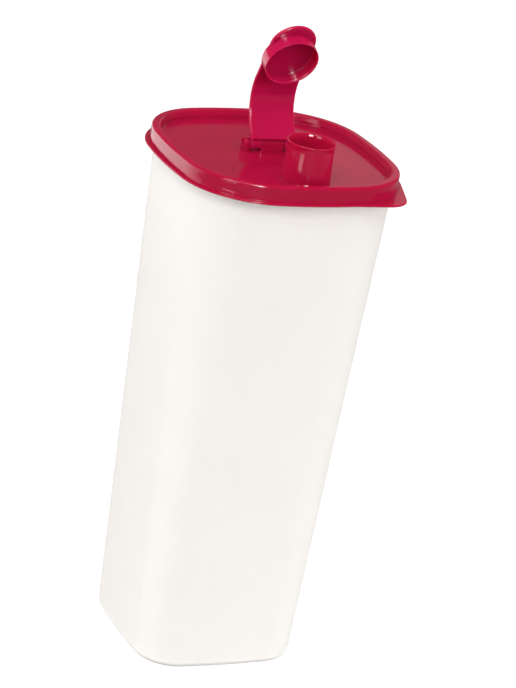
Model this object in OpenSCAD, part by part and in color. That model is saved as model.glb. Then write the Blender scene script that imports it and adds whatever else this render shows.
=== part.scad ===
// Square cereal container: a tapered canister, a press-on lid with a pour spout,
// and a flip cap whose cup covers the spout.
// Origin: centre of the foot, on the surface it stands on. +X right, +Y back, +Z up.

/* [Canister] */
// Half width across the flats at the shoulder, outside
top_half = 49.8; // [44:0.1:60]
// Half width across the flats just above the foot, outside
bottom_half = 40; // [34:0.1:48]
// Height of the canister alone
canister_h = 242.2; // [120:0.1:320]
// Wall thickness of the canister
wall = 1.5; // [1:0.1:2.4]
// Thickness of the canister's bottom
bottom_t = 2; // [1.2:0.1:4]
// Corner radius at the shoulder
top_corner_r = 33; // [20:0.5:40]
// Corner radius at the foot
bottom_corner_r = 18.5; // [12:0.5:28]
// Radius of the rounding between the side and the foot
foot_round = 3.4; // [2:0.1:5]
// Width of the ring that the canister stands on
foot_w = 4; // [2:0.1:8]
// Height of the hollow inside that ring
foot_h = 1.2; // [0.6:0.1:3]
// How far the collar under the lid stands out from the side
collar_out = 0.7; // [0.3:0.1:1.5]
// How far the collar reaches below the lid's flange
collar_below = 2.4; // [1.5:0.1:6]

/* [Lid] */
// Height of the rim above the lid's floor
rim_h = 3.7; // [2.4:0.1:8]
// Radius of the rim's outer edge
rim_round = 1.2; // [0.6:0.1:2]
// Width of the flat top of the rim
rim_flat = 1.9; // [0.4:0.1:3]
// Thickness of the lid's outer skirt
skirt_t = 1.5; // [0.9:0.1:2]
// Depth of the outer skirt, from the rim's top to the flange's top
skirt_h = 7.2; // [6:0.1:14]
// Thickness of the plug wall that reaches into the canister
plug_t = 1.2; // [0.8:0.1:2]
// Depth of the plug wall below the lid's floor
plug_h = 3; // [1:0.1:3]
// Thickness of the lid's inner wall and floor
floor_t = 1.4; // [1:0.1:2.4]
// Gap between the canister's rim and each side of the lid's channel
seat_gap = 0.3; // [0.2:0.05:0.6]
// Width of the flange around the skirt
flange_w = 2.2; // [1:0.1:5]
// Thickness of the flange
flange_t = 1; // [0.8:0.1:2.4]
// Sideways distance of the pull tab's tip circle from the lid's centre
tab_x = 34.2; // [30:0.1:38]
// Distance of that circle in front of the lid's centre
tab_y = 42; // [36:0.1:42.4]
// Radius of the tip of the pull tab
tab_r = 11.8; // [8:0.1:14]

/* [Spout] */
// Outer radius of the spout
spout_r = 10.8; // [8:0.1:13]
// Wall thickness of the spout
spout_wall = 1.1; // [0.8:0.1:2]
// Height of the spout above the lid's floor
spout_h = 18.6; // [14:0.1:24]
// Distance of the spout's axis in front of the lid's centre
spout_front = 33.3; // [28:0.1:34]
// Rounding of the spout's lip
lip_round = 0.5; // [0.2:0.05:0.5]
// Radius of the fillet at the spout's root
root_fillet = 1; // [0.4:0.1:2]

/* [Hinge] */
// Distance of the hinge's axis behind the lid's centre
hinge_back = 5.4; // [2:0.1:12]
// Height of the hinge's axis above the lid's floor
hinge_h = 3.3; // [3:0.1:6]
// Radius of the hinge pin
pin_r = 1.5; // [1:0.1:2]
// Radial clearance of the pin in its sockets
pin_gap = 0.08; // [0.03:0.01:0.1]
// Thickness of each end lug
lug_t = 2.3; // [1.5:0.1:4]
// Wall of a lug around its socket
lug_wall = 1; // [0.8:0.1:1.4]
// Width of the middle lug
middle_w = 11; // [5:0.5:14]
// Radius of the cap's knuckles
knuckle_r = 2.6; // [2:0.1:2.8]
// Sideways gap between a knuckle and a lug
side_gap = 0.35; // [0.2:0.05:1]
// Gap between the middle lug and the strap's foot around it
foot_gap = 0.5; // [0.3:0.05:1]

/* [Flip cap] */
// Angle that the cap stands open from its closed position
cap_open = 65; // [0:1:130]
// Width of the strap
strap_w = 22; // [14:0.5:22]
// Thickness of the strap
strap_t = 1.8; // [1.2:0.1:2]
// Radius of the strap's bend, outside
bend_r = 23.5; // [20:0.1:26]
// Inner radius of the cup's space over the spout's radius
cup_gap = 0.8; // [0.5:0.05:1.5]
// Wall thickness of the cup
cup_wall = 0.8; // [0.6:0.1:2]
// Depth of the cup that passes down over the spout's lip
cup_lap = 5.1; // [2:0.1:5.1]
// Gap between the spout's lip and the cup's ceiling
lip_gap = 0.4; // [0.2:0.05:1]
// How far the cup's centre lies in front of the spout's
cup_lead = 0.4; // [0:0.05:0.5]
// How far the strap stands up from the cup's top
strap_proud = 0.6; // [0.2:0.1:1]
// Length of the thumb tongue in front of the cup
tongue = 4.6; // [2:0.1:12]

/* [Hidden] */
milky = [0.95, 0.94, 0.91];
raspberry = [0.72, 0.07, 0.22];

// How much the flat sides bow out, as half the angle of their arc
top_bow = 5.7;
bottom_bow = 4;
// Points along half a side arc, a corner arc, a rounded edge and the strap's bend
side_steps = 3;
corner_steps = 10;
arc_steps = 4;
bend_steps = 18;
side_rings = 5;
fn = 64;
// Overlap that joins two solids, and reach of a cutter past a surface
merge = 0.4;
past = 1;

// Heights of the lid on the canister
rim_cap = 1.6;
rim_top = canister_h + rim_cap;
floor_z = rim_top - rim_h;
floor_under = floor_z - floor_t;
flange_top = rim_top - skirt_h;
flange_bottom = flange_top - flange_t;
collar_bottom = flange_bottom - collar_below;
inside_z = foot_h + bottom_t + foot_round;

// Distances from the canister's shoulder outline, positive outwards
neck_out = 0.4;
neck_in = neck_out - wall;
skirt_in = neck_out + seat_gap;
skirt_out = skirt_in + skirt_t;
channel_in = neck_in - seat_gap;
rim_in = skirt_out - rim_round - rim_flat;
inner_round = 1.2;
inner_slope = 1.2;
floor_edge = rim_in - inner_round - inner_slope;

spout_y = -spout_front;
lip_z = floor_z + spout_h;
bore_r = spout_r - spout_wall;

hinge_z = floor_z + hinge_h;
socket_r = pin_r + pin_gap;
lug_r = socket_r + lug_wall;
lug_x = strap_w / 2 + side_gap;
knuckle_x = middle_w / 2 + side_gap;
pin_end = lug_x + lug_t - 0.3;

// The closed cap, measured from the hinge: u forwards, v up
cup_u = spout_front + hinge_back + cup_lead;
lip_v = spout_h - hinge_h;
ceiling_v = lip_v + lip_gap;
mouth_v = lip_v - cup_lap;
cup_r = spout_r + cup_gap;
cup_out_r = cup_r + cup_wall;
ceiling_t = 1;
strap_v = ceiling_v + ceiling_t + strap_proud;
tip_u = cup_u + cup_out_r + tongue;
bend_u = 25.5;
bend_v = strap_v - bend_r;
bend_start = 168;

// Outline of a square with bowed sides and round corners.
// a: half width, r: corner radius, bow: half the angle of a side's arc
function side_r(a, r, bow) = (a - r * (cos(bow) - sin(bow))) / (1 - cos(bow) + sin(bow));
function quarter(a, r, bow) =
    let (big = side_r(a, r, bow), c = (big - r) * sin(bow), turn = 90 - 2 * bow)
    concat(
        [for (i = [-side_steps : side_steps - 1])
            let (t = bow * i / side_steps) [a - big + big * cos(t), big * sin(t)]],
        [for (i = [0 : corner_steps - 1])
            let (t = bow + turn * i / corner_steps) [c + r * cos(t), c + r * sin(t)]]
    );
function turned(p, t) = [p[0] * cos(t) - p[1] * sin(t), p[0] * sin(t) + p[1] * cos(t)];
function bowed_square(a, r, bow) =
    [for (k = [0 : 3]) for (p = quarter(a, r, bow)) turned(p, 90 * k)];

// The shoulder outline pushed out by d, and a side outline at height z
function shoulder(d) = bowed_square(top_half + d, top_corner_r + d, top_bow);
function side(z, d) =
    let (s = z / collar_bottom)
    bowed_square(
        bottom_half + (top_half - bottom_half) * s + d,
        bottom_corner_r + (top_corner_r - bottom_corner_r) * s + d,
        bottom_bow + (top_bow - bottom_bow) * s
    );
function ring(outline, z) = [for (p = outline) [p[0], p[1], z]];

// A quarter round from angle t0 to t1: pairs of distance and height
function round_edge(d, z, r, t0, t1) =
    [for (i = [0 : arc_steps]) let (t = t0 + (t1 - t0) * i / arc_steps) [d + r * cos(t), z + r * sin(t)]];

// Solid skinned over rings of equal point counts, closed by a face at each end
module skin(rings) {
    n = len(rings[0]);
    last = len(rings) - 1;
    points = [for (r = rings) for (p = r) p];
    walls = [for (k = [0 : last - 1]) for (i = [0 : n - 1])
        let (a = k * n + i, b = k * n + (i + 1) % n, c = a + n, d = b + n)
        each [[a, c, b], [b, c, d]]];
    first_face = [for (i = [0 : n - 1]) i];
    last_face = [for (i = [n - 1 : -1 : 0]) last * n + i];
    polyhedron(points, concat([first_face], walls, [last_face]), convexity = 8);
}

module canister() {
    foot = [
        ring(side(0, -foot_round - foot_w - foot_h), foot_h),
        ring(side(0, -foot_round - foot_w), 0)
    ];
    heel = [for (e = round_edge(-foot_round, foot_round, foot_round, -90, 0)) ring(side(e[1], e[0]), e[1])];
    flank = [for (k = [1 : side_rings])
        let (z = foot_round + (collar_bottom - foot_round) * k / side_rings) ring(side(z, 0), z)];
    collar = [
        ring(shoulder(collar_out), collar_bottom + collar_out),
        ring(shoulder(collar_out), flange_bottom - seat_gap),
        ring(shoulder(neck_out), flange_bottom + neck_out),
        ring(shoulder(neck_out), canister_h - merge),
        ring(shoulder(neck_out - merge), canister_h)
    ];
    mouth = [
        ring(shoulder(neck_in + merge), canister_h),
        ring(shoulder(neck_in), canister_h - merge),
        ring(shoulder(neck_in), flange_bottom)
    ];
    lining = [for (k = [side_rings : -1 : 1])
        let (z = inside_z + (collar_bottom - inside_z) * k / side_rings) ring(side(z, -wall), z)];
    bottom = [for (e = round_edge(-wall - foot_round, inside_z, foot_round, 0, -90)) ring(side(e[1], e[0]), e[1])];
    color(milky) skin(concat(foot, heel, flank, collar, mouth, lining, bottom));
}

module lid_shell() {
    section = concat(
        [[channel_in - plug_t, floor_under]],
        [[channel_in - plug_t, floor_under - plug_h], [channel_in, floor_under - plug_h]],
        [[channel_in, canister_h], [skirt_in, canister_h]],
        [[skirt_in, flange_bottom + merge], [skirt_out, flange_bottom + merge]],
        round_edge(skirt_out - rim_round, rim_top - rim_round, rim_round, 0, 90),
        round_edge(rim_in, rim_top - inner_round, inner_round, 90, 180),
        [[floor_edge, floor_z]]
    );
    skin([for (e = section) ring(shoulder(e[0]), e[1])]);
}

// Front right corner of the flange drawn out to a rounded tab
module tab_outline() {
    edge = skirt_out + flange_w;
    r = top_corner_r + edge;
    c = (side_r(top_half + edge, r, top_bow) - r) * sin(top_bow);
    hull() {
        translate([c, -c]) circle(r = r, $fn = fn);
        translate([tab_x, -tab_y]) circle(r = tab_r, $fn = fn);
    }
}

module flange() {
    translate([0, 0, flange_bottom]) linear_extrude(height = flange_t) difference() {
        union() {
            polygon(shoulder(skirt_out + flange_w));
            tab_outline();
        }
        polygon(shoulder(skirt_in + merge));
    }
}

module spout() {
    translate([0, spout_y, 0]) rotate_extrude($fn = fn) polygon(concat(
        [[bore_r - merge, floor_z - floor_t / 2], [spout_r + root_fillet, floor_z - floor_t / 2]],
        [for (i = [0 : arc_steps]) let (t = -90 - 90 * i / arc_steps)
            [spout_r + root_fillet + root_fillet * cos(t), floor_z + root_fillet + root_fillet * sin(t)]],
        [for (i = [0 : arc_steps]) let (t = 90 * i / arc_steps)
            [spout_r - lip_round + lip_round * cos(t), lip_z - lip_round + lip_round * sin(t)]],
        [[bore_r - merge, lip_z]]
    ));
}

module along_hinge(r, from, to) {
    translate([from, hinge_back, hinge_z]) rotate([0, 90, 0]) cylinder(r = r, h = to - from, $fn = fn);
}

// Lug standing on the lid's floor, from x = from to x = to
module lug(from, to) {
    along_hinge(lug_r, from, to);
    translate([from, hinge_back - lug_r, floor_z - merge]) cube([to - from, 2 * lug_r, hinge_h + merge]);
}

module lid() {
    color(raspberry) difference() {
        union() {
            lid_shell();
            flange();
            spout();
            lug(-lug_x - lug_t, -lug_x);
            lug(-middle_w / 2, middle_w / 2);
            lug(lug_x, lug_x + lug_t);
        }
        translate([0, spout_y, floor_under - past])
            cylinder(r = bore_r, h = spout_h + floor_t + 2 * past, $fn = fn);
        along_hinge(socket_r, -lug_x - lug_t - past, lug_x + lug_t + past);
    }
}

// Side view of the strap in the closed cap: u forwards, v up
module strap_side() {
    outer = [for (i = [0 : bend_steps]) let (t = bend_start + (90 - bend_start) * i / bend_steps)
        [bend_u + bend_r * cos(t), bend_v + bend_r * sin(t)]];
    inner = [for (i = [bend_steps : -1 : 0]) let (t = bend_start + (90 - bend_start) * i / bend_steps)
        [bend_u + (bend_r - strap_t) * cos(t), bend_v + (bend_r - strap_t) * sin(t)]];
    polygon(concat(outer, [[tip_u + past, strap_v], [tip_u + past, strap_v - strap_t]], inner));
}

// Web between the pin and the strap's foot
module neck_side() {
    mid_r = bend_r - strap_t / 2;
    low = bend_start - 4;
    high = bend_start - 13;
    start = [bend_u + mid_r * cos(low), bend_v + mid_r * sin(low)];
    lean = [bend_u + mid_r * cos(high), bend_v + mid_r * sin(high)];
    polygon([[0, -knuckle_r * 0.6], start, lean, [-knuckle_r * 0.3, knuckle_r * 0.9]]);
}

// Stands a side view up: u runs to -Y, v to +Z, and the width lies along X
module across(w) {
    rotate([90, 0, -90]) translate([0, 0, -w / 2]) linear_extrude(height = w) children();
}

module strap() {
    end_r = strap_w / 2;
    intersection() {
        across(strap_w) strap_side();
        translate([0, 0, -bend_r]) linear_extrude(height = 3 * bend_r) union() {
            translate([0, -(tip_u - end_r)]) circle(r = end_r, $fn = fn);
            translate([-end_r, -(tip_u - end_r)]) square([strap_w, tip_u]);
        }
    }
}

module closed_cap() {
    difference() {
        union() {
            strap();
            across(strap_w) neck_side();
            across(strap_w) circle(r = knuckle_r, $fn = fn);
            translate([0, -cup_u, mouth_v]) cylinder(r = cup_out_r, h = ceiling_v + ceiling_t - mouth_v, $fn = fn);
        }
        translate([0, -cup_u, mouth_v - past]) cylinder(r = cup_r, h = ceiling_v - mouth_v + past, $fn = fn);
        across(2 * knuckle_x) circle(r = lug_r + foot_gap, $fn = fn);
    }
    across(2 * pin_end) circle(r = pin_r, $fn = fn);
}

module flip_cap() {
    color(raspberry) translate([0, hinge_back, hinge_z]) rotate([-cap_open, 0, 0]) closed_cap();
}

canister();
lid();
flip_cap();
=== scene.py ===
"""Looks of the square cereal container: smooth mouldings, plastics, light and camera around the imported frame.

The shapes are worked out in millimetres, and make() turns them into metres.
"""

import math

import bmesh
import bpy
import numpy as np
from mathutils import Matrix, Vector


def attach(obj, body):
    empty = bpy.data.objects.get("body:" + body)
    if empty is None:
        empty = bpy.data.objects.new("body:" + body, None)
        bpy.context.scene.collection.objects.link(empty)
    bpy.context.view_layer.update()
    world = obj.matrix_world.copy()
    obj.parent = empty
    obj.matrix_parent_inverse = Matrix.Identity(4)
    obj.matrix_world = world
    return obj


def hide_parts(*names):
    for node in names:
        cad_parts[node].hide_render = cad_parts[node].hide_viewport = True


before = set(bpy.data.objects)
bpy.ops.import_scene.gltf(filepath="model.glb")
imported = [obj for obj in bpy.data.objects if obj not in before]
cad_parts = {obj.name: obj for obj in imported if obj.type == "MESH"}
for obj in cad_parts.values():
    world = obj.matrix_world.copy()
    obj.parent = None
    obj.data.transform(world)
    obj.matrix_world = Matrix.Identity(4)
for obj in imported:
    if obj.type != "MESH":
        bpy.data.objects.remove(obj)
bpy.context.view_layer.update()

MM = 0.001
AXIS_R = 0.01  # radius, in millimetres, at which a turned profile ends on its axis
X_DIR = Vector((1, 0, 0))
Y_DIR = Vector((0, 1, 0))
UP = Vector((0, 0, 1))

# ---------------------------------------------------------------- sizes, mm
# Canister: half width, corner radius and bow of its sides (radians), at the shoulder and at the foot
TOP_A, TOP_R, TOP_BOW = 49.8, 33.0, math.radians(5.7)
BASE_A, BASE_R, BASE_BOW = 40.0, 18.5, math.radians(4.0)
CANISTER_H = 242.2
WALL = 1.5
FOOT_ROUND = 3.4
FOOT_HOLLOW = 1.2
RING_INSET = 6.9
FLOOR_IN = 3.2
FLOOR_INSET = 12.0
COLLAR_BOTTOM = 233.2
COLLAR_OUT = 0.7
RIM_ROUND = 0.4

# Lid
RIM_TOP = 243.8
RIM_EDGE = 1.2
FLOOR = 240.1
FLOOR_UNDER = 238.7
PLUG_DEPTH = 2.6
FLANGE_TOP = 236.6
FLANGE_BOTTOM = 235.6
FLANGE_OUT = 4.4
SKIRT_OUT = 2.2
SKIRT_IN = 0.7
TAB = (34.2, -42.0, 11.8)  # x and y of the tab's tip circle, and its radius

# Spout
SPOUT_Y = -33.3
BORE_R = 9.7
LIP_Z = 258.7

# Hinge: each lug and knuckle is a span along x
HINGE_Y = 5.4
HINGE_Z = 243.4
SOCKET_R = 1.58
LUG_R = 2.58
LUGS = ((-13.65, -11.35), (-5.5, 5.5), (11.35, 13.65))
LUG_DRAFT = 0.13
KNUCKLE_R = 2.95
KNUCKLES = ((-11.2, -5.65), (5.65, 11.2))
PIN_R = 1.5
PIN_HALF = 13.35

# Flip cap, closed: u goes forwards and v up from the hinge
CAP_OPEN = math.radians(65.0)
STRAP_HALF = 11.0
STRAP_T = 1.8
STRAP_V = 17.3
STRAP_EDGE = 0.75
BEND_U = 25.5
BEND_R = 23.5
BEND_START = 168.0
TIP_U = 56.1
CUP_U = 39.1
CUP_R = 11.6
CUP_OUT_R = 12.4
MOUTH_V = 10.2
CEILING_V = 15.7


# ---------------------------------------------------------------- outlines
def side_radius(a, r, bow):
    """Radius of the bowed side of a square of half width a with corner radius r."""
    c, s = math.cos(bow), math.sin(bow)
    return (a - r * (c - s)) / (1 - c + s)


def bowed_square(a, r, bow, side_n=10, corner_n=26):
    """Points and outward normals of a square with bowed sides and round corners."""
    big = side_radius(a, r, bow)
    c = (big - r) * math.sin(bow)
    pts, nrm = [], []
    turn = math.pi / 2 - 2 * bow
    for k in range(4):
        q = k * math.pi / 2
        cq, sq = math.cos(q), math.sin(q)
        for i in range(-side_n, side_n):
            t = bow * i / side_n
            x, y = a - big + big * math.cos(t), big * math.sin(t)
            pts.append((x * cq - y * sq, x * sq + y * cq))
            nrm.append((math.cos(t + q), math.sin(t + q)))
        for i in range(corner_n):
            t = bow + turn * i / corner_n
            x, y = c + r * math.cos(t), c + r * math.sin(t)
            pts.append((x * cq - y * sq, x * sq + y * cq))
            nrm.append((math.cos(t + q), math.sin(t + q)))
    return np.array(pts), np.array(nrm)


N = len(bowed_square(TOP_A, TOP_R, TOP_BOW)[0])


def ring(outline, z):
    return [(x, y, z) for x, y in outline]


def shoulder(d, z):
    """Ring at height z, offset outwards by d from the canister's shoulder."""
    return ring(bowed_square(TOP_A + d, TOP_R + d, TOP_BOW)[0], z)


def side(d, z, level=None):
    """Ring at height z, offset by d from the tapered side. level is the height whose outline it takes, if not z."""
    s = (z if level is None else level) / COLLAR_BOTTOM
    a = BASE_A + (TOP_A - BASE_A) * s + d
    r = BASE_R + (TOP_R - BASE_R) * s + d
    return ring(bowed_square(a, r, BASE_BOW + (TOP_BOW - BASE_BOW) * s)[0], z)


def arc(cx, cz, r, t0, t1, n=6):
    """Points of an arc in the (distance, height) plane, angles in degrees."""
    out = []
    for i in range(n + 1):
        t = math.radians(t0 + (t1 - t0) * i / n)
        out.append((cx + r * math.cos(t), cz + r * math.sin(t)))
    return out


def rounded_bar(radius, x0, x1, e, n):
    """Profile (radius, x) of a bar from x0 to x1 whose end edges are rounded by e."""
    profile = [(radius - e + d, x0 + e - h) for d, h in arc(0, 0, e, 90, 0, n)]
    return profile + [(radius - e + d, x1 - e + h) for d, h in arc(0, 0, e, 0, 90, n)]


# ---------------------------------------------------------------- mesh helpers
class Builder:
    """Collects rings of points and the quads between them."""

    def __init__(self):
        self.v = []
        self.f = []

    def add(self, pts):
        start = len(self.v)
        self.v.extend(pts)
        return list(range(start, start + len(pts)))

    def bridge(self, a, b, closed=True):
        n = len(a)
        for i in range(n if closed else n - 1):
            j = (i + 1) % n
            self.f.append((a[i], a[j], b[j], b[i]))

    def skin(self, rings):
        """Rings joined one to the next; returns the first and the last ring's indices."""
        idx = [self.add(r) for r in rings]
        for a, b in zip(idx, idx[1:]):
            self.bridge(a, b)
        return idx[0], idx[-1]

    def cap(self, loop, flip=False):
        self.f.append(tuple(reversed(loop)) if flip else tuple(loop))

    def solid(self, rings):
        """Rings joined one to the next, with both ends closed."""
        first, last = self.skin(rings)
        self.cap(first, flip=True)
        self.cap(last)

    def make(self, name, sharp):
        """Mesh object in metres, smooth up to an angle of sharp degrees; faces of many corners stay flat."""
        me = bpy.data.meshes.new(name)
        me.from_pydata([tuple(c * MM for c in v) for v in self.v], [], self.f)
        me.validate()
        work = bmesh.new()
        work.from_mesh(me)
        bmesh.ops.recalc_face_normals(work, faces=work.faces)
        work.to_mesh(me)
        work.free()
        ob = bpy.data.objects.new(name, me)
        bpy.context.scene.collection.objects.link(ob)
        me.polygons.foreach_set("use_smooth", [len(p.vertices) <= 4 for p in me.polygons])
        me.set_sharp_from_angle(angle=math.radians(sharp))
        me.update()
        return ob


def turned(profile, centre, axes, n=96):
    """Rings of a profile of (radius, height) about an axis. axes holds two side vectors and the axis itself."""
    sx, sy, ax = axes
    angles = [2 * math.pi * i / n for i in range(n)]
    return [
        [tuple(centre + ax * h + (sx * math.cos(t) + sy * math.sin(t)) * r) for t in angles] for r, h in profile
    ]


# ---------------------------------------------------------------- materials
def srgb(r, g, b):
    def lin(c):
        c /= 255.0
        return c / 12.92 if c <= 0.04045 else ((c + 0.055) / 1.055) ** 2.4

    return (lin(r), lin(g), lin(b), 1.0)


def grey(level):
    return (level, level, level)


class Nodes:
    """Shorthand for a node tree: nodes with their inputs set, and links between them."""

    def __init__(self, tree):
        self.tree = tree

    def new(self, kind, **inputs):
        n = self.tree.nodes.new(kind)
        for k, v in inputs.items():
            n.inputs[k.replace("_", " ")].default_value = v
        return n

    def link(self, a, b):
        self.tree.links.new(a, b)

    def noise(self, coord, **inputs):
        n = self.new("ShaderNodeTexNoise", **inputs)
        self.link(coord, n.inputs["Vector"])
        return n.outputs["Fac"]

    def between(self, value, low, high, **inputs):
        """The value's span, 0 to 1 unless inputs say otherwise, brought to low to high."""
        n = self.new("ShaderNodeMapRange", To_Min=low, To_Max=high, **inputs)
        self.link(value, n.inputs["Value"])
        return n.outputs["Result"]

    def ramp(self, value, *stops):
        """Colour ramp over stops of (position, sRGB colour)."""
        n = self.tree.nodes.new("ShaderNodeValToRGB")
        for element, (position, colour) in zip(n.color_ramp.elements, stops):
            element.position = position
            element.color = srgb(*colour)
        self.link(value, n.inputs["Fac"])
        return n.outputs["Color"]

    def calc(self, operation, a, b):
        n = self.tree.nodes.new("ShaderNodeMath")
        n.operation = operation
        self.link(a, n.inputs[0])
        self.link(b, n.inputs[1])
        return n.outputs[0]


def material(name):
    mat = bpy.data.materials.new(name)
    mat.use_nodes = True
    return mat, Nodes(mat.node_tree), mat.node_tree.nodes["Principled BSDF"]


def plastic(name, plain, mottle, stops, gloss, roughness, grain, relief):
    """Plastic with mottled colour, uneven gloss and a fine grain.

    plain holds the values of the shader's own sockets; mottle, gloss and grain are the inputs of the three noises.
    """
    mat, m, shader = material(name)
    for socket, value in plain.items():
        shader.inputs[socket].default_value = value
    coord = m.new("ShaderNodeTexCoord").outputs["Object"]
    m.link(m.ramp(m.noise(coord, **mottle), *stops), shader.inputs["Base Color"])
    m.link(m.between(m.noise(coord, **gloss), *roughness), shader.inputs["Roughness"])
    bump = m.new("ShaderNodeBump", Strength=relief, Distance=0.0002)
    m.link(m.noise(coord, **grain), bump.inputs["Height"])
    m.link(bump.outputs["Normal"], shader.inputs["Normal"])
    return mat


def red_plastic(name, low, high):
    """Glossy raspberry red whose colour wanders from low to high."""
    return plastic(
        name,
        {
            "IOR": 1.49,
            "Specular IOR Level": 0.28,
            "Subsurface Weight": 0.45,
            "Subsurface Radius": (1.0, 0.22, 0.36),
            "Subsurface Scale": 0.004,
        },
        mottle={"Scale": 38.0, "Detail": 4.0, "Roughness": 0.55},
        stops=((0.3, low), (0.72, high)),
        gloss={"Scale": 120.0, "Detail": 3.0},
        roughness=(0.07, 0.16),
        grain={"Scale": 260.0, "Detail": 2.0},
        relief=0.05,
    )


def milky_plastic():
    """Satin, translucent milky white."""
    return plastic(
        "milky_plastic",
        {
            "IOR": 1.5,
            "Subsurface Weight": 0.6,
            "Subsurface Radius": (0.9, 0.95, 1.0),
            "Subsurface Scale": 0.006,
        },
        mottle={"Scale": 14.0, "Detail": 5.0, "Roughness": 0.6},
        stops=((0.3, (249, 242, 235)), (0.7, (252, 247, 241))),
        gloss={"Scale": 60.0, "Detail": 3.0},
        roughness=(0.36, 0.46),
        grain={"Scale": 420.0, "Detail": 2.0},
        relief=0.03,
    )


LID_RED = red_plastic("raspberry_lid", (158, 12, 51), (166, 14, 56))
# The cap is the lid's plastic painted lighter and more magenta: painted light and reflection standing in for how
# light falls on the thin strap.
CAP_RED_PAINTED_LIGHT = red_plastic("raspberry_cap_painted_light", (167, 14, 63), (175, 16, 69))
MILKY = milky_plastic()


def dress(ob, body, mat):
    """Material, body, replaced node and material slot of a piece. Each body is one node of the same name."""
    ob.data.materials.append(mat)
    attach(ob, body)
    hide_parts(body)


# ---------------------------------------------------------------- canister
def build_canister():
    # hollow under the floor, and the inner edge of the standing ring
    foot = [(-FLOOR_INSET, FOOT_HOLLOW), (-9.0, FOOT_HOLLOW), (-8.2, FOOT_HOLLOW - 0.1), (-7.6, 0.5)]
    foot += arc(-RING_INSET, 0.5, 0.5, 180, 270, 4)
    rings = [side(d, z, level=0) for d, z in foot]

    # outside: rounded foot and tapered side
    top = COLLAR_BOTTOM - 0.6
    outside = arc(-FOOT_ROUND, FOOT_ROUND, FOOT_ROUND, -90, 0, 12)
    outside += [(0, FOOT_ROUND + (top - FOOT_ROUND) * k / 24) for k in range(1, 25)]
    rings += [side(d, z) for d, z in outside]

    # collar bead, neck under the lid and the rim's outer and inner edge
    half = COLLAR_OUT / 2
    rim = arc(half, COLLAR_BOTTOM - 0.05, half, 180, 90, 4)[1:2]
    rim += arc(half, COLLAR_BOTTOM + 0.4, half, -60, 0, 4)
    rim += [(COLLAR_OUT, FLANGE_BOTTOM - 0.6)] + arc(0.4, FLANGE_BOTTOM - 0.6, 0.3, 0, 90, 4)
    rim += [(RIM_ROUND, FLANGE_BOTTOM + 0.2)]
    rim += arc(0.0, CANISTER_H - RIM_ROUND, RIM_ROUND, 0, 90, 4)
    rim += arc(2 * RIM_ROUND - WALL, CANISTER_H - RIM_ROUND, RIM_ROUND, 90, 180, 4)
    rim += [(RIM_ROUND - WALL, FLANGE_BOTTOM)]
    rings += [shoulder(d, z) for d, z in rim]

    # inside: wall, rounded bottom and floor
    low = FLOOR_IN + FOOT_ROUND
    inside = [(-WALL, low + (COLLAR_BOTTOM - low) * k / 12) for k in range(12, 0, -1)]
    inside += arc(-WALL - FOOT_ROUND, low, FOOT_ROUND, 0, -90, 8)
    rings += [side(d, z) for d, z in inside]
    rings.append(side(-FLOOR_INSET, FLOOR_IN, level=0))

    b = Builder()
    b.solid(rings)
    dress(b.make("canister_moulding", sharp=50), "canister", MILKY)


# ---------------------------------------------------------------- lid
def tab_outline():
    """Boundary points of the two-circle hull that makes the front right corner of the flange."""
    a, r = TOP_A + FLANGE_OUT, TOP_R + FLANGE_OUT
    c = (side_radius(a, r, TOP_BOW) - r) * math.sin(TOP_BOW)
    tx, ty, tr = TAB
    dx, dy = tx - c, ty + c
    dist = math.hypot(dx, dy)
    mid = math.atan2(dy, dx)
    off = math.acos((r - tr) / dist)
    pts = []
    for i in range(81):
        t = mid - off + 2 * off * i / 80
        pts.append((tx + tr * math.cos(t), ty + tr * math.sin(t)))
    for i in range(161):
        t = mid + off + (2 * math.pi - 2 * off) * i / 160
        pts.append((c + r * math.cos(t), -c + r * math.sin(t)))
    return np.array(pts)


HULL = tab_outline()


def tab_reach(p, n):
    """Distance from p along n to the far side of the tab's hull, or 0 where n doesn't meet the hull."""
    a, b = HULL, np.roll(HULL, -1, axis=0)
    e = b - a
    den = n[0] * -e[:, 1] + n[1] * e[:, 0]
    w = a - p
    with np.errstate(divide="ignore", invalid="ignore"):
        t = (w[:, 0] * -e[:, 1] + w[:, 1] * e[:, 0]) / den
        u = (n[0] * w[:, 1] - n[1] * w[:, 0]) / den
    hit = (np.abs(den) > 1e-9) & (u >= -1e-6) & (u <= 1 + 1e-6) & (t > -1e-6)
    return max(float(t[hit].max()), 0.0) if hit.any() else 0.0


FLANGE_PTS, FLANGE_NRM = bowed_square(TOP_A + FLANGE_OUT, TOP_R + FLANGE_OUT, TOP_BOW)
FLANGE_EXTRA = np.array([tab_reach(p, n) for p, n in zip(FLANGE_PTS, FLANGE_NRM)])


def flange(inset, z, share=1.0):
    """Ring of the flange with its tab, set in from the edge. share fades the tab out towards the skirt."""
    base = bowed_square(TOP_A + FLANGE_OUT - inset, TOP_R + FLANGE_OUT - inset, TOP_BOW)[0]
    return ring(base + FLANGE_NRM * (FLANGE_EXTRA * share)[:, None], z)


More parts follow.
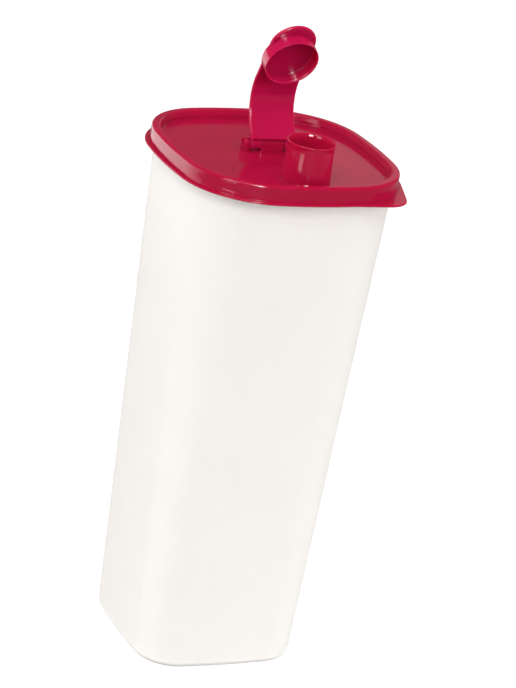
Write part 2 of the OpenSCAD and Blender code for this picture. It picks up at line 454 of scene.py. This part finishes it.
def lid_rings():
    """Rings of the lid's edge, from the floor's underside outwards round the flange and over the rim to the floor."""
    # plug wall, the channel that takes the canister's rim, and the skirt's lower edge
    plug = FLOOR_UNDER - PLUG_DEPTH
    under = [(-2.6, FLOOR_UNDER)] + arc(-2.2, plug, 0.4, 180, 270, 3) + arc(-1.8, plug, 0.4, 270, 360, 3)
    under += [(-1.4, CANISTER_H), (SKIRT_IN, CANISTER_H), (SKIRT_IN, FLANGE_BOTTOM + 0.6)]
    under += arc(SKIRT_IN + 0.4, FLANGE_BOTTOM + 0.4, 0.4, 180, 270, 3)
    under.append((2.0, FLANGE_BOTTOM))
    rings = [shoulder(d, z) for d, z in under]

    # flange with the tab
    edge = [(-1.4, FLANGE_BOTTOM), (-0.5, FLANGE_BOTTOM)]
    edge += arc(-0.45, FLANGE_BOTTOM + 0.45, 0.45, -90, 0, 5)[1:]
    edge += arc(-0.4, FLANGE_TOP - 0.4, 0.4, 0, 90, 5)
    edge.append((-0.8, FLANGE_TOP))
    rings += [flange(-d, z) for d, z in edge]
    rings.append(flange(1.3, FLANGE_TOP, share=0.9))

    # groove at the foot of the wall, the wall and the rim's round top
    groove = ((0.75, 0), (0.5, -0.02), (0.28, -0.12), (0.1, -0.05), (0, 0.25))
    wall = [(SKIRT_OUT + d, FLANGE_TOP + h) for d, h in groove]
    wall += [(SKIRT_OUT, FLANGE_TOP + 2.5), (SKIRT_OUT, RIM_TOP - 2.2)]
    wall += arc(SKIRT_OUT - RIM_EDGE, RIM_TOP - RIM_EDGE, RIM_EDGE, 0, 90, 10)
    wall += [(0.1, RIM_TOP), (-0.4, RIM_TOP)]
    wall += arc(-0.9, RIM_TOP - RIM_EDGE, RIM_EDGE, 90, 165, 8)

    # inner wall: a sloping band, a crease, and a steeper foot that curves into the floor
    crease = ((-2.69, 1.7), (-2.72, 1.65), (-2.75, 1.58), (-2.77, 1.44), (-2.85, 0.82))
    wall.append((-2.09, RIM_TOP - 0.95))
    wall += [(d, FLOOR + h) for d, h in crease]
    wall += arc(-3.36, FLOOR + 0.5, 0.5, 350, 270, 6)
    wall += [(-3.9, FLOOR), (-5.4, FLOOR)]
    return rings + [shoulder(d, z) for d, z in wall]


def spout_rings():
    """Rings of the spout: root fillet, drafted wall, flared lip, bore and its lower edge."""
    # radius and depth below the lip's top, outside and inside
    flare = ((10.5, 4.0), (10.46, 3.2), (10.5, 2.5), (10.6, 1.8), (10.78, 1.2), (11.02, 0.75))
    mouth = ((10.68, 0), (10.5, 0.04), (10.3, 0.22), (10.1, 0.6), (9.92, 1.1), (9.78, 1.8), (BORE_R, 2.8))
    edge = 0.3
    profile = [(13.8, FLOOR), (12.4, FLOOR)] + arc(11.8, FLOOR + 0.6, 0.6, 270, 180, 6) + [(11.1, FLOOR + 3)]
    profile += [(r, LIP_Z - depth) for r, depth in flare]
    profile += arc(10.8, LIP_Z - 0.32, 0.32, -20, 90, 6)
    profile += [(r, LIP_Z - depth) for r, depth in mouth]
    profile += [(BORE_R, FLOOR), (BORE_R, FLOOR_UNDER + edge)]
    profile += arc(BORE_R + edge, FLOOR_UNDER + edge, edge, 180, 270, 3) + [(12.4, FLOOR_UNDER)]
    return turned(profile, Vector((0, SPOUT_Y, 0)), (X_DIR, Y_DIR, UP), n=N)


def floor_sheet(b, outer, inner, flip):
    """Flat sheet of the lid's floor between a ring of its edge and a ring of the spout's root."""
    pts = np.array([b.v[i] for i in outer])
    angle = np.arctan2(pts[:, 1] - SPOUT_Y, pts[:, 0])
    x, y, z = b.v[inner[0]]
    radius = math.hypot(x, y - SPOUT_Y)
    root = np.stack([radius * np.cos(angle), SPOUT_Y + radius * np.sin(angle), np.full(len(pts), pts[0][2])], axis=1)
    previous = outer
    for share in (0.12, 0.35, 0.6, 0.82, 1.0):
        row = b.add([tuple(q) for q in pts + (root - pts) * share])
        if flip:
            b.bridge(row, previous)
        else:
            b.bridge(previous, row)
        previous = row


def build_lid():
    b = Builder()
    first, last = b.skin(lid_rings())
    spout_first, spout_last = b.skin(spout_rings())
    floor_sheet(b, last, spout_first, flip=False)
    floor_sheet(b, first, spout_last, flip=True)
    dress(b.make("lid_moulding", sharp=48), "lid", LID_RED)


def lug_rings(x0, x1, foot):
    """Rings of an arched lug from x0 to x1: socket, rounded edges, socket. foot is its depth below the pin."""
    n = 72
    e = 0.3
    chamfer = 0.15

    def arch(inset, x):
        pts = []
        radius = LUG_R - inset
        for i in range(n):
            t = 2 * math.pi * i / n
            cy, cz = math.cos(t), math.sin(t)
            if cz >= 0:
                reach = radius
            else:
                wall = radius - LUG_DRAFT * min(1.0, -cz / 0.3)
                reach = min(wall / max(abs(cy), 1e-6), foot / max(-cz, 1e-6))
            pts.append((x, HINGE_Y + reach * cy, HINGE_Z + reach * cz))
        return pts

    def socket(radius, x):
        angles = [2 * math.pi * i / n for i in range(n)]
        return [(x, HINGE_Y + radius * math.cos(t), HINGE_Z + radius * math.sin(t)) for t in angles]

    rings = [socket(SOCKET_R, x0 + chamfer), socket(SOCKET_R + chamfer, x0)]
    rings += [arch(e - d, x0 + e - h) for d, h in arc(0, 0, e, 90, 0, 4)]
    rings += [arch(e - d, x1 - e + h) for d, h in arc(0, 0, e, 0, 90, 4)]
    return rings + [socket(SOCKET_R + chamfer, x1), socket(SOCKET_R, x1 - chamfer)]


def build_lugs():
    b = Builder()
    sunk = 0.4
    for x0, x1 in LUGS:
        first, last = b.skin(lug_rings(x0, x1, foot=HINGE_Z - FLOOR + sunk))
        b.bridge(last, first)
    dress(b.make("lid_lugs", sharp=40), "lid", LID_RED)


# ---------------------------------------------------------------- flip cap
U_DIR = Vector((0, -math.cos(CAP_OPEN), math.sin(CAP_OPEN)))
V_DIR = Vector((0, math.sin(CAP_OPEN), math.cos(CAP_OPEN)))
PIVOT = Vector((0, HINGE_Y, HINGE_Z))
BEND_MID = BEND_R - STRAP_T / 2
BEND_V = STRAP_V - BEND_R


def posed(x, u, v):
    """Point of the closed cap turned to the rest pose."""
    return tuple(PIVOT + X_DIR * x + U_DIR * u + V_DIR * v)


def on_bend(degrees, r):
    """Point (u, v) at radius r on the strap's bend."""
    t = math.radians(degrees)
    return (BEND_U + r * math.cos(t), BEND_V + r * math.sin(t))


def strap_path():
    """Stations along the middle of the strap, each its (u, v) and the normal there."""
    stations = []
    for i in range(45):
        degrees = BEND_START + (90 - BEND_START) * i / 44
        t = math.radians(degrees)
        stations.append((*on_bend(degrees, BEND_MID), math.cos(t), math.sin(t)))
    straight = [29, 33, 37, 41, TIP_U - STRAP_HALF]
    straight += [TIP_U - STRAP_HALF * (1 - math.sin(math.pi / 2 * k / 22)) for k in range(1, 22)]
    return stations + [(u, BEND_V + BEND_MID, 0.0, 1.0) for u in straight]


def build_strap():
    """Bent strap with a round tongue at its tip, thinned along its edge."""
    shares = [0.0, 0.18, 0.36, 0.54, 0.7, 0.82, 0.9, 0.93, 0.95, 0.965, 0.98, 0.99, 0.997, 1.0]
    across = [-s for s in reversed(shares[1:])] + shares

    thin = 0.18  # share of the thickness that is left at the very edge

    def half_thick(dist):
        if dist >= STRAP_EDGE:
            return STRAP_T / 2
        s = 1 - dist / STRAP_EDGE
        return STRAP_T / 2 * (thin + (1 - thin) * math.sqrt(max(0.0, 1 - s * s)))

    b = Builder()
    upper, lower = [], []
    for u, v, nu, nv in strap_path():
        past = max(STRAP_HALF - (TIP_U - u), 0.0)
        width = math.sqrt(max(STRAP_HALF**2 - past**2, 0.0))
        hi, lo = [], []
        for x in (width * k for k in across):
            h = half_thick(max(STRAP_HALF - math.hypot(x, past), 0.0))
            hi.append(posed(x, u + nu * h, v + nv * h))
            lo.append(posed(x, u - nu * h, v - nv * h))
        upper.append(b.add(hi))
        lower.append(b.add(lo))
    for a, c in zip(upper, upper[1:]):
        b.bridge(a, c, closed=False)
    for a, c in zip(lower, lower[1:]):
        b.bridge(c, a, closed=False)
    for k in (0, -1):
        edge_up, edge_down = [row[k] for row in upper], [row[k] for row in lower]
        if k:
            b.bridge(edge_up, edge_down, closed=False)
        else:
            b.bridge(edge_down, edge_up, closed=False)
    b.bridge(lower[0], upper[0], closed=False)
    b.bridge(upper[-1], lower[-1], closed=False)
    dress(b.make("cap_strap", sharp=55), "flip_cap", CAP_RED_PAINTED_LIGHT)


def rounded_profile(points, cuts, n=4):
    """Polygon corners replaced by short arcs; cuts holds each corner's rounding."""
    out = []
    m = len(points)
    for i in range(m):
        p = Vector(points[i])
        a = Vector(points[i - 1]) - p
        c = Vector(points[(i + 1) % m]) - p
        r = min(cuts[i], a.length * 0.45, c.length * 0.45)
        s, e = p + a.normalized() * r, p + c.normalized() * r
        for k in range(n + 1):
            t = k / n
            out.append(tuple((1 - t) ** 2 * s + 2 * t * (1 - t) * p + t * t * e))
    return out


def slab_rings(profile, x0, x1, e=0.3):
    """Side profile in (u, v), stretched from x0 to x1 with rounded long edges."""
    pts = np.array(profile)
    nxt, prv = np.roll(pts, -1, axis=0), np.roll(pts, 1, axis=0)
    tan = nxt - prv
    tan /= np.maximum(np.linalg.norm(tan, axis=1), 1e-9)[:, None]
    nrm = np.stack([tan[:, 1], -tan[:, 0]], axis=1)
    if np.sum(pts[:, 0] * nxt[:, 1] - nxt[:, 0] * pts[:, 1]) < 0:
        nrm = -nrm
    spans = [(x0 + e - h, e - d) for d, h in arc(0, 0, e, 90, 0, 4)]
    spans += [(x1 - e + h, e - d) for d, h in arc(0, 0, e, 0, 90, 4)]
    return [[posed(x, *(p - q * inset)) for p, q in zip(pts, nrm)] for x, inset in spans]


def build_knuckles():
    """Knuckles on the pin, each with a neck that joins it to the strap's foot."""
    b = Builder()
    low, high = BEND_START - 4, BEND_START - 13  # degrees on the bend between which the neck meets the strap
    neck = [(0.3, -2.2), on_bend(low + 2, BEND_MID - 0.1), on_bend(low - 2, BEND_MID - 0.2)]
    neck += [on_bend(high, BEND_MID + 0.2), on_bend(high + 2, BEND_R - 0.2), (-0.8, 2.3)]
    neck = rounded_profile(neck, [0.4, 0.3, 0.3, 0.2, 0.3, 0.5])
    reach = STRAP_HALF - 0.5
    for x0, x1 in KNUCKLES:
        b.solid(slab_rings(neck, max(x0, -reach), min(x1, reach)))
    axes = (U_DIR, V_DIR, X_DIR)
    bore = PIN_R - 0.2
    for x0, x1 in KNUCKLES:
        profile = [(bore, x0)] + rounded_bar(KNUCKLE_R, x0, x1, 0.35, 5) + [(bore, x1)]
        b.skin(turned(profile, PIVOT, axes, n=72))
    pin = [(AXIS_R, -PIN_HALF)] + rounded_bar(PIN_R, -PIN_HALF, PIN_HALF, 0.3, 4) + [(AXIS_R, PIN_HALF)]
    b.solid(turned(pin, PIVOT, axes, n=48))
    dress(b.make("cap_knuckles", sharp=45), "flip_cap", CAP_RED_PAINTED_LIGHT)


def build_cup():
    """Cup under the strap: ceiling, inner wall, chamfered mouth and outer wall. Its top lies inside the strap."""
    corner = 0.8
    top = CEILING_V + 1.0
    profile = [(AXIS_R, CEILING_V), (6, CEILING_V), (CUP_R - 1.0, CEILING_V)]
    profile += arc(CUP_R - corner, CEILING_V - corner, corner, 90, 0, 6)[1:]
    chamfer = ((0, 1.8), (0, 1.15), (0.04, 1.02), (0.19, 0.82), (0.38, 0.6), (0.47, 0.4), (0.5, 0.14))
    profile += [(CUP_R + d, MOUTH_V + h) for d, h in chamfer]
    profile += arc(CUP_OUT_R - 0.2, MOUTH_V + 0.2, 0.2, 225, 360, 8)
    profile += [(CUP_OUT_R, MOUTH_V + 1.4), (CUP_OUT_R, CEILING_V - 0.4)]
    profile += arc(CUP_OUT_R - 0.6, top - 0.6, 0.6, 0, 90, 6)
    profile += [(CUP_OUT_R - 2.0, top), (AXIS_R, top)]
    b = Builder()
    b.skin(turned(profile, PIVOT + U_DIR * CUP_U, (X_DIR, -U_DIR, V_DIR), n=144))
    dress(b.make("cap_cup", sharp=50), "flip_cap", CAP_RED_PAINTED_LIGHT)


build_canister()
build_lid()
build_lugs()
build_strap()
build_knuckles()
build_cup()


# ---------------------------------------------------------------- floor, light, camera
PHOTO_W, PHOTO_H = 516, 688
FLOOR_HALF = 6.0
NEAR, FAR = 0.25, 0.60  # distances, in metres, over which the floor's paper gets darker
GLOW_NEAR, GLOW_FAR = 0.84, 0.95  # the floor's own glow for the camera, so that it shows as a white background


def build_stage():
    """Pale paper floor; near the object it stays darker than the background, so that the shadow shows."""
    me = bpy.data.meshes.new("floor")
    s = FLOOR_HALF
    me.from_pydata([(-s, -s, 0), (s, -s, 0), (s, s, 0), (-s, s, 0)], [], [(0, 1, 2, 3)])
    floor = bpy.data.objects.new("floor", me)
    bpy.context.scene.collection.objects.link(floor)

    mat, m, shader = material("floor_paper")
    shader.inputs["Roughness"].default_value = 0.8
    coord = m.new("ShaderNodeTexCoord").outputs["Object"]
    fibre = m.noise(coord, Scale=30.0, Detail=5.0)
    reach = m.tree.nodes.new("ShaderNodeVectorMath")
    reach.operation = "LENGTH"
    m.link(coord, reach.inputs[0])
    far = m.between(reach.outputs["Value"], 0.0, 1.0, From_Min=NEAR, From_Max=FAR)
    paper = m.tree.nodes.new("ShaderNodeMix")
    paper.data_type = "RGBA"
    m.link(far, paper.inputs["Factor"])
    m.link(m.ramp(fibre, (0.0, grey(151)), (1.0, grey(164))), paper.inputs["A"])
    paper.inputs["B"].default_value = srgb(*grey(112))
    m.link(paper.outputs["Result"], shader.inputs["Base Color"])

    path = m.new("ShaderNodeLightPath").outputs
    seen = m.calc("MAXIMUM", path["Is Camera Ray"], path["Is Transmission Ray"])
    glow = m.new("ShaderNodeEmission")
    m.link(m.calc("MULTIPLY", seen, m.between(far, GLOW_NEAR, GLOW_FAR)), glow.inputs["Strength"])
    add = m.new("ShaderNodeAddShader")
    m.link(shader.outputs[0], add.inputs[0])
    m.link(glow.outputs[0], add.inputs[1])
    m.link(add.outputs[0], m.tree.nodes["Material Output"].inputs["Surface"])
    me.materials.append(mat)


def build_world():
    """White to the camera and to plain light, dim to mirror reflections, a little lighter behind the object."""
    world = bpy.data.worlds.new("studio")
    bpy.context.scene.world = world
    world.use_nodes = True
    background = world.node_tree.nodes["Background"]
    background.inputs["Color"].default_value = (1, 1, 1, 1)
    t = Nodes(world.node_tree)
    path = t.new("ShaderNodeLightPath").outputs
    split = t.new("ShaderNodeSeparateXYZ")
    t.link(t.new("ShaderNodeTexCoord").outputs["Generated"], split.inputs[0])
    dim = t.between(split.outputs["Y"], 0.05, 0.14, From_Min=-0.35, From_Max=0.75)
    gloss = t.new("ShaderNodeMix", A=1.0)
    t.link(path["Is Glossy Ray"], gloss.inputs["Factor"])
    t.link(dim, gloss.inputs["B"])
    seen = t.new("ShaderNodeMix", B=1.0)
    t.link(path["Is Camera Ray"], seen.inputs["Factor"])
    t.link(gloss.outputs["Result"], seen.inputs["A"])
    t.link(seen.outputs["Result"], background.inputs["Strength"])


def area(name, where, aim, size, watts, diffuse=True, glossy=True, spread=180):
    """Soft lamp that the camera doesn't see."""
    lamp = bpy.data.lights.new(name, "AREA")
    lamp.shape = "RECTANGLE"
    lamp.size, lamp.size_y = size
    lamp.energy = watts
    lamp.spread = math.radians(spread)
    ob = bpy.data.objects.new(name, lamp)
    ob.location = where
    ob.rotation_euler = (Vector(aim) - Vector(where)).to_track_quat("-Z", "Y").to_euler()
    ob.visible_camera = False
    ob.visible_diffuse = diffuse
    ob.visible_glossy = glossy
    bpy.context.scene.collection.objects.link(ob)


def build_lights():
    """Key and fills light the object; the panel, the cards and the flash only show as its reflections."""
    area("key", (-1.15, -1.37, 2.05), (0, 0, 0.10), (2.2, 1.2), 31.3)
    area("left_fill", (-2.1, 0.3, 0.3), (0, 0, 0.12), (1.2, 1.2), 18.5, glossy=False)
    area("right_fill", (2.0, -1.3, 0.5), (0, 0, 0.2), (1.2, 1.2), 28.5, glossy=False)
    area("back_fill", (0.9, 2.2, 0.32), (0, 0, 0.12), (1.2, 1.0), 12, glossy=False)
    area("low_panel", (-0.355, 0.508, 0.13), (0, 0, 0.24), (1.2, 0.25), 0.88, diffuse=False, spread=110)
    area("spout_card", (-0.52, -0.33, 0.116), (0, -0.03, 0.25), (0.19, 0.05), 0.16, diffuse=False)
    area("edge_card", (-0.87, -0.50, 0.52), (0, 0, 0.26), (0.33, 0.40), 3.5, diffuse=False)
    area("back_card", (0.41, 0.465, 0.435), (0, 0, 0.24), (0.30, 0.20), 0.05, diffuse=False)
    area("flash", (-0.45, -1.39, 0.83), (0, 0, 0.26), (0.31, 0.31), 54, diffuse=False)


def build_camera():
    """Camera fitted to the photo's outlines: a long lens from the front left, rolled because the container leans.

    The lid's centre, at the height of the rim, shows at the pixel (px, py), dist millimetres away.
    """
    az, el, roll = (math.radians(v) for v in (-27.087, 17.91, -9.95))
    dist, focal, px, py = 1342.0, 2992.288, 275.819, 146.309
    back = Vector((math.sin(az) * math.cos(el), -math.cos(az) * math.cos(el), math.sin(el)))
    right = Vector((math.cos(az), math.sin(az), 0))
    base = Matrix((right, back.cross(right), back))
    turn = Matrix.Rotation(roll, 3, "Z")
    seen = Vector(((px - PHOTO_W / 2) / focal, -(py - PHOTO_H / 2) / focal, -1)).normalized()
    tilt = Vector((0, 0, -1)).rotation_difference(seen).to_matrix()
    pose = (tilt @ turn @ base).transposed().to_4x4()
    pose.translation = (Vector((0, 0, RIM_TOP)) + back * dist) * MM
    cam = bpy.data.cameras.new("camera")
    cam.sensor_width = 36
    cam.lens = focal / PHOTO_H * cam.sensor_width
    cam.clip_start = 0.05
    ob = bpy.data.objects.new("camera", cam)
    ob.matrix_world = pose
    bpy.context.scene.collection.objects.link(ob)
    bpy.context.scene.camera = ob


build_stage()
build_world()
build_lights()
build_camera()
bpy.context.scene.view_settings.view_transform = "Standard"
